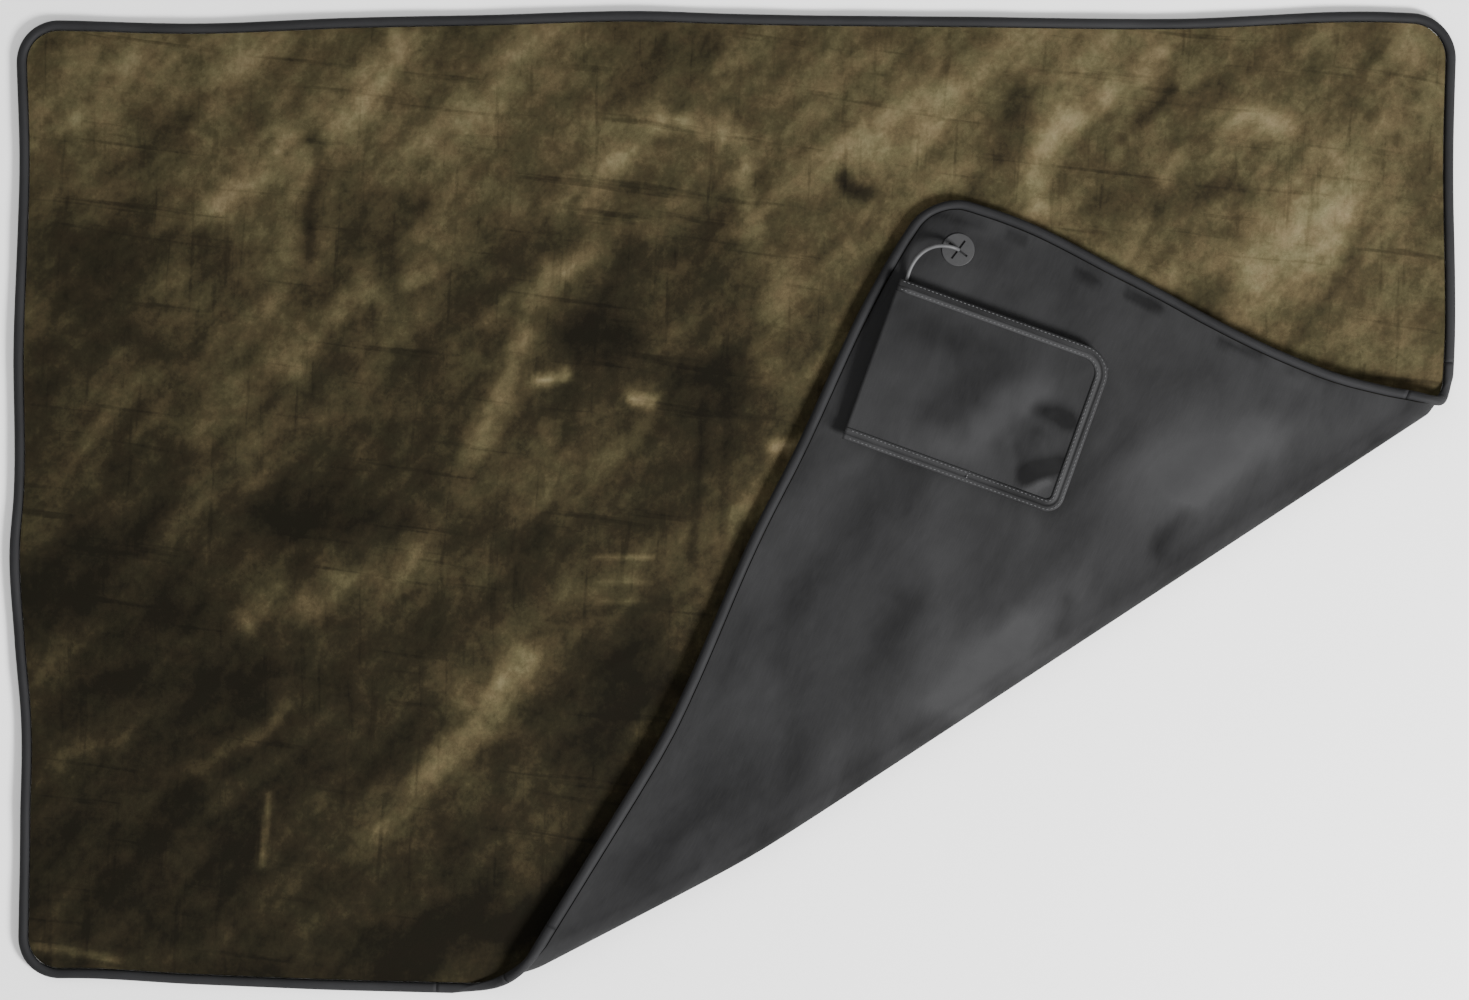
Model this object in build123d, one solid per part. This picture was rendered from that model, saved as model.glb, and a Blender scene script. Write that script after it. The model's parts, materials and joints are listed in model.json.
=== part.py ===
from build123d import *
import math
import os

# Heated camp blanket, lying plush side up with one corner folded over its top.
# Millimetres. The flat blanket is centred on the origin with its back on Z = 0:
# +X runs along its long side, +Y along its short side and +Z away from the ground.

# ---- Driving dimensions -------------------------------------------------------------
LENGTH = 1500.0            # long side, outside of the piping
WIDTH = 1000.0             # short side, outside of the piping
CORNER_R = 46.0            # rounded corners of the outline

SHELL_T = 0.8              # woven back shell
PADDING_T = 4.2            # quilted filling
PLUSH_T = 6.0              # plush face with its pile
BLANKET_T = SHELL_T + PADDING_T + PLUSH_T

BEAD_R = 5.5               # piping along the edge
BEAD_CORE_R = 4.3
FLANGE_T = 0.8             # piping tape, sewn in under the plush
FLANGE_W = 13.0
FLANGE_OVERLAP = 1.0       # into the bead's cover

FOLD_ON_LONG_SIDE = 944.0  # from the folded corner to the fold, along the long side
FOLD_ON_SHORT_SIDE = 620.0
FOLD_HEIGHT = 34.0         # height of the roll at the fold
FLAP_DROP = 1.3            # degrees that the flap slopes down to its tip
FOLD_GAP = 0.25            # each side of the two mitred creases

PORT_P, PORT_Q = 59.5, 59.0      # cable port, from the short side and from the long side
PORT_R = 17.0
PORT_T = 1.6
PORT_NECK_R = 11.0
SLIT_LENGTH = 23.0
SLIT_W = 2.2
SLIT_ANGLES = (-14.0, 76.0)
PORT_EDGE_R = 0.7
RING_T = 1.2
SPLICE_R = 7.0

POCKET_P, POCKET_Q = 111.0, 15.5  # mouth corner nearest to the blanket's long side
POCKET_TURN = 3.5                # degrees
POCKET_DEPTH = 176.0
POCKET_WIDTH = 236.0
POCKET_CORNER_R = 14.0
GUSSET_INSET = 5.0
GUSSET_T = 1.5
GUSSET_H = 11.0
POCKET_GAP = 0.3
PANEL_T = 2.0
HEM_T = 2.2
HEM_W = 13.0
TACK = (12.0, 3.0, 1.2)

LEAD_D = 4.0
LEAD_HOLE_GAP = 0.1
LEAD_BEND_SHARE = 0.45           # of the shorter run beside a bend, taken up by its arc
PLUG_GRIP = (24.0, 14.0, 7.5)    # length, width, height
PLUG_SHELL = (19.0, 12.0, 4.5)
PLUG_WALL = 0.35
PLUG_TONGUE_T = 1.8
GRIP_EDGE_R = 2.0
GRIP_END_CHAMFER = 1.2
PLUG_HOLE = 2.2                  # square latch holes in the plug shell
PLUG_HOLE_ALONG = 11.8
PLUG_HOLE_ASIDE = 2.8
TONGUE_SHORTER = 1.0

HARNESS_W = 5.0
HARNESS_T = 1.8
CARRIER_T = 0.5
CARRIER_R = 12.0
ELEMENT_T = 0.3
ELEMENT_W = 6.0
ELEMENT_PITCH = 24.0
ELEMENT_MARGIN = 18.0
PAD_SIZE = (360.0, 300.0)
PAD_CENTRES = {"left": (-480.0, -40.0), "centre": (0.0, 60.0), "right": (480.0, 270.0)}
CUTOUT = (16.0, 9.0, 3.4)
CUTOUT_BEFORE_FOLD = 42.0
JUNCTION = (400.0, 30.0)

REACH = 2500.0             # longer than the blanket, for cutting solids

# The lead's route: from the short side, from the long side, height above the shell.
LEAD_ROUTE = [
    (59.5, 59.0, -0.8),
    (59.5, 59.0, 9.5),
    (61.5, 46.5, 14.0),
    (67.0, 34.5, 13.0),
    (77.5, 25.5, 10.0),
    (92.0, 21.0, 6.6),
    (109.0, 22.0, 4.2),
    (128.0, 29.0, 2.9),
    (147.0, 36.5, 2.5),
    (166.0, 41.0, 3.0),
    (183.0, 41.5, 3.75),
    (199.0, 41.5, 3.75),
]

# ---- Where things are ---------------------------------------------------------------
FOLD_START = Vector(LENGTH / 2 - FOLD_ON_LONG_SIDE, -WIDTH / 2, 0)
FOLD_END = Vector(LENGTH / 2, -WIDTH / 2 + FOLD_ON_SHORT_SIDE, 0)
FOLD_DIR = (FOLD_END - FOLD_START).normalized()
FOLD_OUT = Vector(FOLD_DIR.Y, -FOLD_DIR.X, 0)        # square to the fold, to the corner
FOLD_SECTION = Plane(origin=FOLD_START, x_dir=FOLD_OUT, z_dir=-FOLD_DIR)

LOWER_CREASE = Axis(FOLD_START, FOLD_DIR)
UPPER_CREASE_FLAT = Axis(FOLD_START + FOLD_OUT * FOLD_HEIGHT, FOLD_DIR)
LOWER_TURN = 90.0
UPPER_TURN = 90.0 + FLAP_DROP

# Local (p, q, h): from the short side, from the long side, out of the shell.
OUTSIDE = Plane(origin=(LENGTH / 2, -WIDTH / 2, 0), x_dir=(-1, 0, 0), z_dir=(0, 0, -1))
POCKET = OUTSIDE * Location((POCKET_P, POCKET_Q, 0), (0, 0, POCKET_TURN))

PADDING_Z = SHELL_T
PLUSH_Z = SHELL_T + PADDING_T
PANEL_H = GUSSET_H + POCKET_GAP


# ---- Folding ------------------------------------------------------------------------
def slab_between(near, near_slope, far, far_slope):
    """Everything between two creases, mitred: each edge leans by its slope with height."""
    low, high = -BLANKET_T, 1.3 * BLANKET_T
    corners = [
        (near, low),
        (far, low),
        (far, 0),
        (far + far_slope * high, high),
        (near + near_slope * high, high),
        (near, 0),
    ]
    face = FOLD_SECTION * make_face(Polyline(*corners, close=True))
    return extrude(face, amount=REACH, both=True)


LOWER_SLOPE = math.tan(math.radians(LOWER_TURN / 2))
UPPER_SLOPE = math.tan(math.radians(UPPER_TURN / 2))
LOWER_GAP = FOLD_GAP / math.cos(math.radians(LOWER_TURN / 2))
UPPER_GAP = FOLD_GAP / math.cos(math.radians(UPPER_TURN / 2))

SHEET_SLAB = slab_between(-REACH, 0, -LOWER_GAP, -LOWER_SLOPE)
FOLD_SLAB = slab_between(LOWER_GAP, LOWER_SLOPE, FOLD_HEIGHT - UPPER_GAP, -UPPER_SLOPE)
CORNER_SLAB = slab_between(FOLD_HEIGHT + UPPER_GAP, UPPER_SLOPE, REACH, 0)


def stand_up(shape):
    """Turns a part of the fold band from flat to standing."""
    return shape.rotate(Axis(LOWER_CREASE.position, -FOLD_DIR), LOWER_TURN)


def fold_over(shape):
    """Turns a part of the corner from flat to lying upside down on the blanket."""
    over = shape.rotate(Axis(UPPER_CREASE_FLAT.position, -FOLD_DIR), UPPER_TURN)
    return stand_up(over)


def on_three_bodies(name, flat):
    """Splits a flat layer at the two creases and folds its parts into place."""
    save(name + "_sheet", flat & SHEET_SLAB)
    save(name + "_fold", stand_up(flat & FOLD_SLAB))
    save(name + "_corner", fold_over(flat & CORNER_SLAB))


def save(name, shape):
    solids = shape.solids()
    kept = solids[0] if len(solids) == 1 else Compound(children=list(solids))
    kept.label = name
    export_step(kept, os.path.join("parts", name + ".step"))


# ---- Blanket layers -----------------------------------------------------------------
def outline(inset):
    return RectangleRounded(LENGTH - 2 * inset, WIDTH - 2 * inset, CORNER_R - inset)


def layer(inset, z, thickness):
    return extrude(Pos(0, 0, z) * outline(inset), amount=thickness)


def flange():
    inner = layer(2 * BEAD_R + FLANGE_W, PLUSH_Z, FLANGE_T)
    return layer(2 * BEAD_R - FLANGE_OVERLAP, PLUSH_Z, FLANGE_T) - inner


def bead(radius):
    path = Pos(0, 0, BEAD_R) * outline(BEAD_R)
    start = Plane(origin=(0, -WIDTH / 2 + BEAD_R, BEAD_R), z_dir=(1, 0, 0))
    return sweep(start * Circle(radius), path=path.wire())


def tape(start, end, z, thickness, width=HARNESS_W):
    """A flat strip with round ends between two points of the plan."""
    run = Vector(*end) - Vector(*start)
    middle = (Vector(*start) + Vector(*end)) * 0.5
    angle = math.degrees(math.atan2(run.Y, run.X))
    strip = SlotCenterToCenter(run.length, width)
    return extrude(Pos(middle.X, middle.Y, z) * Rot(0, 0, angle) * strip, amount=thickness)


def at_fold(distance):
    """A point of the plan on the line from the port straight to the fold."""
    port = Vector(LENGTH / 2 - PORT_P, -WIDTH / 2 + PORT_Q, 0)
    foot = port - FOLD_OUT * (port - FOLD_START).dot(FOLD_OUT)
    point = foot + FOLD_OUT * distance
    return (point.X, point.Y)


def harness():
    """The flat twin cable from the port to the heating pads."""
    z = PLUSH_Z - HARNESS_T
    port = (LENGTH / 2 - PORT_P, -WIDTH / 2 + PORT_Q)
    left, centre, right = (PAD_CENTRES[side] for side in ("left", "centre", "right"))
    half = PAD_SIZE[0] / 2
    link_y = (left[1] + centre[1]) / 2
    runs = [
        (port, at_fold(-CUTOUT_BEFORE_FOLD)),
        (at_fold(-CUTOUT_BEFORE_FOLD), JUNCTION),
        (JUNCTION, (JUNCTION[0], right[1] - PAD_SIZE[1] / 2)),
        (JUNCTION, (centre[0] + half, JUNCTION[1])),
        ((centre[0] - half, link_y), (left[0] + half, link_y)),
    ]
    whole = Part() + [tape(start, end, z, HARNESS_T) for start, end in runs]
    for side in PAD_CENTRES:
        whole -= pad_space(side)
    return whole - splice_space() - cutout_block()


def pad_space(side):
    x, y = PAD_CENTRES[side]
    height = CARRIER_T + ELEMENT_T
    return Pos(x, y, PLUSH_Z - height / 2) * Box(*PAD_SIZE, height)


def carrier(side):
    x, y = PAD_CENTRES[side]
    z = PLUSH_Z - ELEMENT_T - CARRIER_T
    return extrude(Pos(x, y, z) * RectangleRounded(*PAD_SIZE, CARRIER_R), amount=CARRIER_T)


def element(side):
    """The carbon-fibre heating strip, laid back and forth over its carrier."""
    x, y = PAD_CENTRES[side]
    z = PLUSH_Z - ELEMENT_T
    run = PAD_SIZE[0] / 2 - ELEMENT_MARGIN
    rows = int((PAD_SIZE[1] - 2 * ELEMENT_MARGIN) / ELEMENT_PITCH) + 1
    first = y - (rows - 1) * ELEMENT_PITCH / 2
    strips = []
    for row in range(rows):
        at = first + row * ELEMENT_PITCH
        strips.append(tape((x - run, at), (x + run, at), z, ELEMENT_T, ELEMENT_W))
        if row:
            end = x + run if row % 2 else x - run
            strips.append(tape((end, at - ELEMENT_PITCH), (end, at), z, ELEMENT_T, ELEMENT_W))
    return Part() + strips


def cutout_block():
    x, y = at_fold(-CUTOUT_BEFORE_FOLD)
    angle = math.degrees(math.atan2(FOLD_OUT.Y, FOLD_OUT.X))
    return Pos(x, y, PLUSH_Z - CUTOUT[2] / 2) * Rot(0, 0, angle) * Box(*CUTOUT)


def splice_space():
    x, y = LENGTH / 2 - PORT_P, -WIDTH / 2 + PORT_Q
    return extrude(Pos(x, y, PADDING_Z) * Circle(SPLICE_R), amount=PADDING_T)


# ---- Port, pocket and lead, on the outside of the shell -------------------------------
def at_port(shape, height=0.0):
    return OUTSIDE * Pos(PORT_P, PORT_Q, height) * shape


def port_disc():
    """The moulded disc, with a neck through the shell and a cross-shaped slit."""
    disc = extrude(Circle(PORT_R), amount=PORT_T)
    disc = fillet(disc.edges().group_by(Axis.Z)[-1], PORT_EDGE_R)
    disc += Pos(0, 0, -SHELL_T) * extrude(Circle(PORT_NECK_R), amount=SHELL_T)
    depth = 2 * (PORT_T + SHELL_T)
    for angle in SLIT_ANGLES:
        disc -= Rot(0, 0, angle) * Box(SLIT_LENGTH, SLIT_W, depth)
    disc -= Cylinder(LEAD_D / 2 + LEAD_HOLE_GAP, depth)
    return at_port(disc)


def backing_ring():
    ring = Circle(PORT_R) - Circle(PORT_NECK_R)
    return at_port(extrude(ring, amount=RING_T), -SHELL_T - RING_T)


def pocket_outline(inset):
    """The pocket's plan, with its mouth on local X = 0 and its round corners away from Y = 0."""
    depth, width = POCKET_DEPTH, POCKET_WIDTH
    box = Pos(depth / 2, width / 2) * Rectangle(depth - 2 * inset, width - 2 * inset)
    far = box.vertices().group_by(Axis.Y)[-1]
    near = box.vertices().group_by(Axis.Y)[0]
    box = fillet(far, POCKET_CORNER_R - inset / 2)
    near = [v for v in box.vertices() if v.Y < width / 2]
    return fillet(near, POCKET_CORNER_R / 3)


def gusset():
    wall = pocket_outline(GUSSET_INSET) - pocket_outline(GUSSET_INSET + GUSSET_T)
    mouth = Pos(0, POCKET_WIDTH / 2) * Rectangle(2 * POCKET_CORNER_R, 2 * POCKET_WIDTH)
    return POCKET * extrude(wall - mouth, amount=GUSSET_H)


def bar_tacks():
    tacks = []
    for y in (GUSSET_INSET - TACK[1] / 2, POCKET_WIDTH - GUSSET_INSET + TACK[1] / 2):
        tack = Pos(POCKET_CORNER_R + TACK[0] / 2, y, TACK[2] / 2) * Box(*TACK)
        tacks.append(POCKET * tack)
    return Part() + tacks


def panel():
    return POCKET * Pos(0, 0, PANEL_H) * extrude(pocket_outline(0), amount=PANEL_T)


def hem():
    """The raised border along the mouth, the far side and the closed end."""
    inner = Pos(POCKET_DEPTH / 2, (POCKET_WIDTH - HEM_W) / 2)
    inner *= Rectangle(POCKET_DEPTH - 2 * HEM_W, POCKET_WIDTH - HEM_W)
    border = pocket_outline(0) - inner
    return POCKET * Pos(0, 0, PANEL_H + PANEL_T) * extrude(border, amount=HEM_T)


def lead_radii(points):
    """The largest arc that each corner of the route has room for."""
    radii = []
    for before, at, after in zip(points, points[1:], points[2:]):
        first, second = at - before, after - at
        half_turn = math.radians(first.get_angle(second) / 2)
        radii.append(LEAD_BEND_SHARE * min(first.length, second.length) / math.tan(half_turn))
    return radii


def lead():
    points = [Vector(*point) for point in LEAD_ROUTE]
    radii = lead_radii(points)
    path = FilletPolyline(*points, radius=radii)
    tube = sweep(Plane(origin=path @ 0, z_dir=path % 0) * Circle(LEAD_D / 2), path=path)
    print("lead length", round(path.length, 1), "bend radii", [round(r, 1) for r in radii])
    return OUTSIDE * tube


def at_plug(shape, ahead=0.0):
    """Places a piece of the plug that runs along its local +X from the lead's end."""
    x, y, h = LEAD_ROUTE[-1]
    return OUTSIDE * Pos(x + ahead, y, h) * shape


def plug_grip():
    length, width, height = PLUG_GRIP
    grip = Pos(length / 2, 0, 0) * Box(length, width, height)
    grip = fillet(grip.edges().filter_by(Axis.X), GRIP_EDGE_R)
    return at_plug(chamfer(grip.faces().sort_by(Axis.X)[0].edges(), GRIP_END_CHAMFER))


def plug_shell():
    length, width, height = PLUG_SHELL
    inside = Box(length, width - 2 * PLUG_WALL, height - 2 * PLUG_WALL)
    sleeve = Pos(length / 2, 0, 0) * (Box(length, width, height) - inside)
    for side in (-1, 1):
        hole = Box(PLUG_HOLE, PLUG_HOLE, 4 * PLUG_WALL)
        sleeve -= Pos(PLUG_HOLE_ALONG, side * PLUG_HOLE_ASIDE, height / 2) * hole
    return at_plug(sleeve, PLUG_GRIP[0])


def plug_tongue():
    length, width, height = PLUG_SHELL
    z = -height / 2 + PLUG_WALL + PLUG_TONGUE_T / 2
    length -= TONGUE_SHORTER
    tongue = Pos(length / 2, 0, z) * Box(length, width - 2 * PLUG_WALL, PLUG_TONGUE_T)
    return at_plug(tongue, PLUG_GRIP[0])


# ---- Build --------------------------------------------------------------------------
def build():
    os.makedirs("parts", exist_ok=True)
    inset = 2 * BEAD_R
    shell = layer(inset, 0, SHELL_T) - at_port(Cylinder(PORT_NECK_R, 4 * SHELL_T))
    padding = layer(inset, PADDING_Z, PADDING_T) - harness() - cutout_block()
    padding = padding - splice_space() - backing_ring()
    for side in PAD_CENTRES:
        padding -= pad_space(side)
        save("heating_carrier_" + side, carrier(side))
        save("heating_element_" + side, element(side))
    cover = (bead(BEAD_R) + flange()) - bead(BEAD_CORE_R)
    on_three_bodies("shell", shell)
    on_three_bodies("padding", padding)
    on_three_bodies("plush", layer(inset, PLUSH_Z, PLUSH_T) - flange())
    on_three_bodies("piping_cover", cover)
    on_three_bodies("piping_core", bead(BEAD_CORE_R))
    on_three_bodies("harness", harness())
    save("thermal_cutout", cutout_block())
    on_corner = {
        "lead_splice": splice_space(),
        "port_disc": port_disc(),
        "port_backing_ring": backing_ring(),
        "pocket_gusset": gusset(),
        "pocket_bar_tacks": bar_tacks(),
        "pocket_panel": panel(),
        "pocket_hem": hem(),
        "power_lead": lead(),
        "plug_grip": plug_grip(),
        "plug_shell": plug_shell(),
        "plug_tongue": plug_tongue(),
    }
    for name, flat in on_corner.items():
        save(name, fold_over(flat))


def print_axes():
    """The three hinges at rest, as a point and a direction."""
    closed_end = Edge.make_line((POCKET_DEPTH, 0, PANEL_H), (POCKET_DEPTH, POCKET_WIDTH, PANEL_H))
    mouth = fold_over(POCKET * closed_end)
    upper = LOWER_CREASE.position + Vector(0, 0, FOLD_HEIGHT)
    print("lower crease", LOWER_CREASE.position, FOLD_DIR)
    print("upper crease", upper, FOLD_DIR, "turn", UPPER_TURN)
    print("pocket hinge", mouth @ 0, mouth % 0)


build()
print_axes()
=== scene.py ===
import json
import math

import bmesh
import bpy
import numpy as np
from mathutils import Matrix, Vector


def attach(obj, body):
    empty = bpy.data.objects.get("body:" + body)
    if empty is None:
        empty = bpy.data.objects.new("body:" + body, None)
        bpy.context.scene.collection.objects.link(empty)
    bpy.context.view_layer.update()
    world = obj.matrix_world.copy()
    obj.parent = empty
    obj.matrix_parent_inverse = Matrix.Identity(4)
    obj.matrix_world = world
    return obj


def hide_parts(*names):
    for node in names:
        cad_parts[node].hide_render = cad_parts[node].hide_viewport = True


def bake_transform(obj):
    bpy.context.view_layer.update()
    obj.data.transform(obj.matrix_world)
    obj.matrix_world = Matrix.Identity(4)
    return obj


# Heated camp blanket with one corner folded over, in metres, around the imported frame.
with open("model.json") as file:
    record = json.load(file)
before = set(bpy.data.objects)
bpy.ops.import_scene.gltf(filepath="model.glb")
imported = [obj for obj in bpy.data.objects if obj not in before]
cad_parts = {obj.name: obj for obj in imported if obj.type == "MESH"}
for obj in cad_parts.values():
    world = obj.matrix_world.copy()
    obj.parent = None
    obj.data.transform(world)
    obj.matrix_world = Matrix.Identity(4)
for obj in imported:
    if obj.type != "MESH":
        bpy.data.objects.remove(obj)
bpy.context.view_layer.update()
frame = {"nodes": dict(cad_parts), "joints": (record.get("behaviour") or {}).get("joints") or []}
nodes = frame["nodes"]
joints = {joint["name"]: joint for joint in frame["joints"]}

# ---- Sizes ----
LENGTH, WIDTH = 1.5, 1.0
CORNER_R = 0.046
SHELL_T = 0.0008
PADDING_T = 0.0042
PLUSH_T = 0.006
PADDING_W = SHELL_T
PLUSH_W = SHELL_T + PADDING_T
BLANKET_T = PLUSH_W + PLUSH_T
BEAD_R = 0.0055
EDGE = 2 * BEAD_R              # the layers end here, inside of the piping

CREASE_POINT = np.array(joints["lower_crease"]["pos_m"])
CREASE_DIR = np.array(joints["lower_crease"]["axis"])
CREASE_OUT = np.array([CREASE_DIR[1], -CREASE_DIR[0], 0.0])
FOLD_HEIGHT = joints["upper_crease"]["pos_m"][2]
FLAP_TURN = math.radians(joints["upper_crease"]["range_deg"][1] - 90.0)
ROLL_R = FOLD_HEIGHT / 2
ROLL_ARC = math.pi * ROLL_R
ROLL_START = (FOLD_HEIGHT - ROLL_ARC) / 2

PORT_P, PORT_Q = 0.0595, 0.0590
POCKET_P, POCKET_Q = 0.111, 0.0155
POCKET_TURN = math.radians(3.5)
POCKET_DEPTH, POCKET_WIDTH = 0.176, 0.236
LEAD_D = 0.004
# The lead's route: from the short side, from the long side, height above the shell.
LEAD_ROUTE = [
    (PORT_P, PORT_Q, -0.0008), (PORT_P, PORT_Q, 0.0095), (0.0615, 0.0465, 0.0140), (0.0670, 0.0345, 0.0130),
    (0.0775, 0.0255, 0.0100), (0.0920, 0.0210, 0.0066), (0.1090, 0.0220, 0.0042), (0.1280, 0.0290, 0.0029),
    (0.1470, 0.0365, 0.0025), (0.1660, 0.0410, 0.0030), (0.1830, 0.0415, 0.00375), (0.1990, 0.0415, 0.00375),
]


# ---- Rigid places on the folded corner ----
def on_corner(p, q, h):
    """A point of the CAD's stiff corner: from the short side, the long side, out of the shell."""
    x, y = LENGTH / 2 - p - CREASE_POINT[0], -WIDTH / 2 + q - CREASE_POINT[1]
    out = x * CREASE_OUT[0] + y * CREASE_OUT[1] - FOLD_HEIGHT
    along = x * CREASE_DIR[0] + y * CREASE_DIR[1]
    cosine, sine = math.cos(FLAP_TURN), math.sin(FLAP_TURN)
    plan = CREASE_POINT[:2, None] + np.multiply.outer(CREASE_OUT[:2], -out * cosine - h * sine)
    plan = plan + np.multiply.outer(CREASE_DIR[:2], along)
    return np.stack([plan[0], plan[1], FOLD_HEIGHT - out * sine + h * cosine], axis=-1)


def corner_point(p, q, h):
    one = np.array([1.0])
    return Vector(on_corner(p * one, q * one, h * one)[0])


# ---- Camera, and the lead first ----
def add_camera():
    """Looks straight down, from far enough off to show little perspective."""
    view_width, height = 1.525, 4.2
    centre_x, centre_y, centre_z = -0.001, 0.001, 0.008
    camera = bpy.data.cameras.new("camera")
    camera.sensor_width = 36.0
    camera.lens = camera.sensor_width * height / view_width
    holder = bpy.data.objects.new("camera", camera)
    holder.location = (centre_x, centre_y, height + centre_z)
    bpy.context.scene.collection.objects.link(holder)
    bpy.context.scene.camera = holder


def add_lead():
    curve = bpy.data.curves.new("lead", "CURVE")
    curve.dimensions = "3D"
    curve.bevel_depth = LEAD_D / 2
    curve.bevel_resolution = 8
    curve.resolution_u = 24
    curve.use_fill_caps = True
    spline = curve.splines.new("NURBS")
    spline.points.add(len(LEAD_ROUTE) - 1)
    for point, place in zip(spline.points, LEAD_ROUTE):
        point.co = (*corner_point(*place), 1.0)
    spline.order_u = 3
    spline.use_endpoint_u = True
    lead = bpy.data.objects.new("lead", curve)
    bpy.context.scene.collection.objects.link(lead)
    curve.materials.append(rubber("lead_rubber", (0.055, 0.055, 0.057), 0.55))
    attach(lead, "corner")
    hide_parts("power_lead")


# ---- Material helpers ----
class Shader:
    """A material's node tree, with one short call for each kind of node."""

    def __init__(self, name, **settings):
        self.material = bpy.data.materials.new(name)
        self.material.use_nodes = True
        self.tree = self.material.node_tree
        self.surface = self.tree.nodes["Principled BSDF"]
        for key, value in settings.items():
            self.surface.inputs[key.replace("_", " ")].default_value = value

    def put(self, target, value):
        if isinstance(value, bpy.types.NodeSocket):
            self.tree.links.new(value, target)
        elif value is not None:
            target.default_value = value

    def node(self, kind, *values, out=0, **settings):
        made = self.tree.nodes.new("ShaderNode" + kind)
        for key, value in settings.items():
            setattr(made, key, value)
        for socket, value in zip(made.inputs, values):
            self.put(socket, value)
        return made.outputs[out]

    def attribute(self, name, out="Fac"):
        made = self.tree.nodes.new("ShaderNodeAttribute")
        made.attribute_name = name
        return made.outputs[out]

    def coordinates(self, name="cloth", turn=0.0, scale=(1, 1, 1)):
        source = self.attribute(name, "Vector") if name else self.node("TexCoord", out=3)
        made = self.tree.nodes.new("ShaderNodeMapping")
        made.vector_type = "TEXTURE"            # turns first and then scales
        self.put(made.inputs["Vector"], source)
        made.inputs["Rotation"].default_value = (0, 0, math.radians(turn))
        made.inputs["Scale"].default_value = [1 / times for times in scale]
        return made.outputs[0]

    def texture(self, kind, vector, **inputs):
        made = self.tree.nodes.new("ShaderNodeTex" + kind)
        self.put(made.inputs["Vector"], vector)
        for key, value in inputs.items():
            made.inputs[key].default_value = value
        return made

    def noise(self, vector, scale, detail=2.0, rough=0.5, distortion=0.0):
        return self.texture("Noise", vector, Scale=scale, Detail=detail, Roughness=rough,
                            Distortion=distortion).outputs["Fac"]

    def waves(self, vector, scale, direction, distortion):
        made = self.texture("Wave", vector, Scale=scale, Distortion=distortion)
        made.bands_direction = direction
        return made.outputs["Fac"]

    def math(self, operation, *values):
        return self.node("Math", *values, operation=operation)

    def spread(self, value, low, high, to_low=0.0, to_high=1.0):
        return self.node("MapRange", value, low, high, to_low, to_high)

    def ramp(self, value, stops):
        made = self.tree.nodes.new("ShaderNodeValToRGB")
        self.put(made.inputs["Fac"], value)
        elements = made.color_ramp.elements
        while len(elements) < len(stops):
            elements.new(0.5)
        for element, (place, colour) in zip(elements, stops):
            element.position = place
            element.color = (*colour, 1.0)
        return made.outputs["Color"]

    def bump(self, height, strength, distance, below=None):
        made = self.tree.nodes.new("ShaderNodeBump")
        made.inputs["Strength"].default_value = strength
        made.inputs["Distance"].default_value = distance
        self.put(made.inputs["Height"], height)
        self.put(made.inputs["Normal"], below)
        return made.outputs["Normal"]

    def finish(self, colour=None, roughness=None, normal=None):
        self.put(self.surface.inputs["Base Color"], colour)
        self.put(self.surface.inputs["Roughness"], roughness)
        self.put(self.surface.inputs["Normal"], normal)
        return self.material


def shade(colour, amount):
    return tuple(channel * amount for channel in colour)


def rubber(name, colour, roughness):
    make = Shader(name, Specular_IOR_Level=0.45)
    place = make.coordinates(None)
    mottle = make.noise(place, 90.0, 4.0, 0.6)
    fine = make.noise(place, 2600.0, 2.0, 0.6)
    tint = make.ramp(mottle, [(0.3, shade(colour, 0.82)), (0.7, shade(colour, 1.15))])
    rough = make.spread(fine, 0.2, 0.8, roughness - 0.07, roughness + 0.12)
    return make.finish(tint, rough, make.bump(fine, 0.25, 0.0002))


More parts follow.
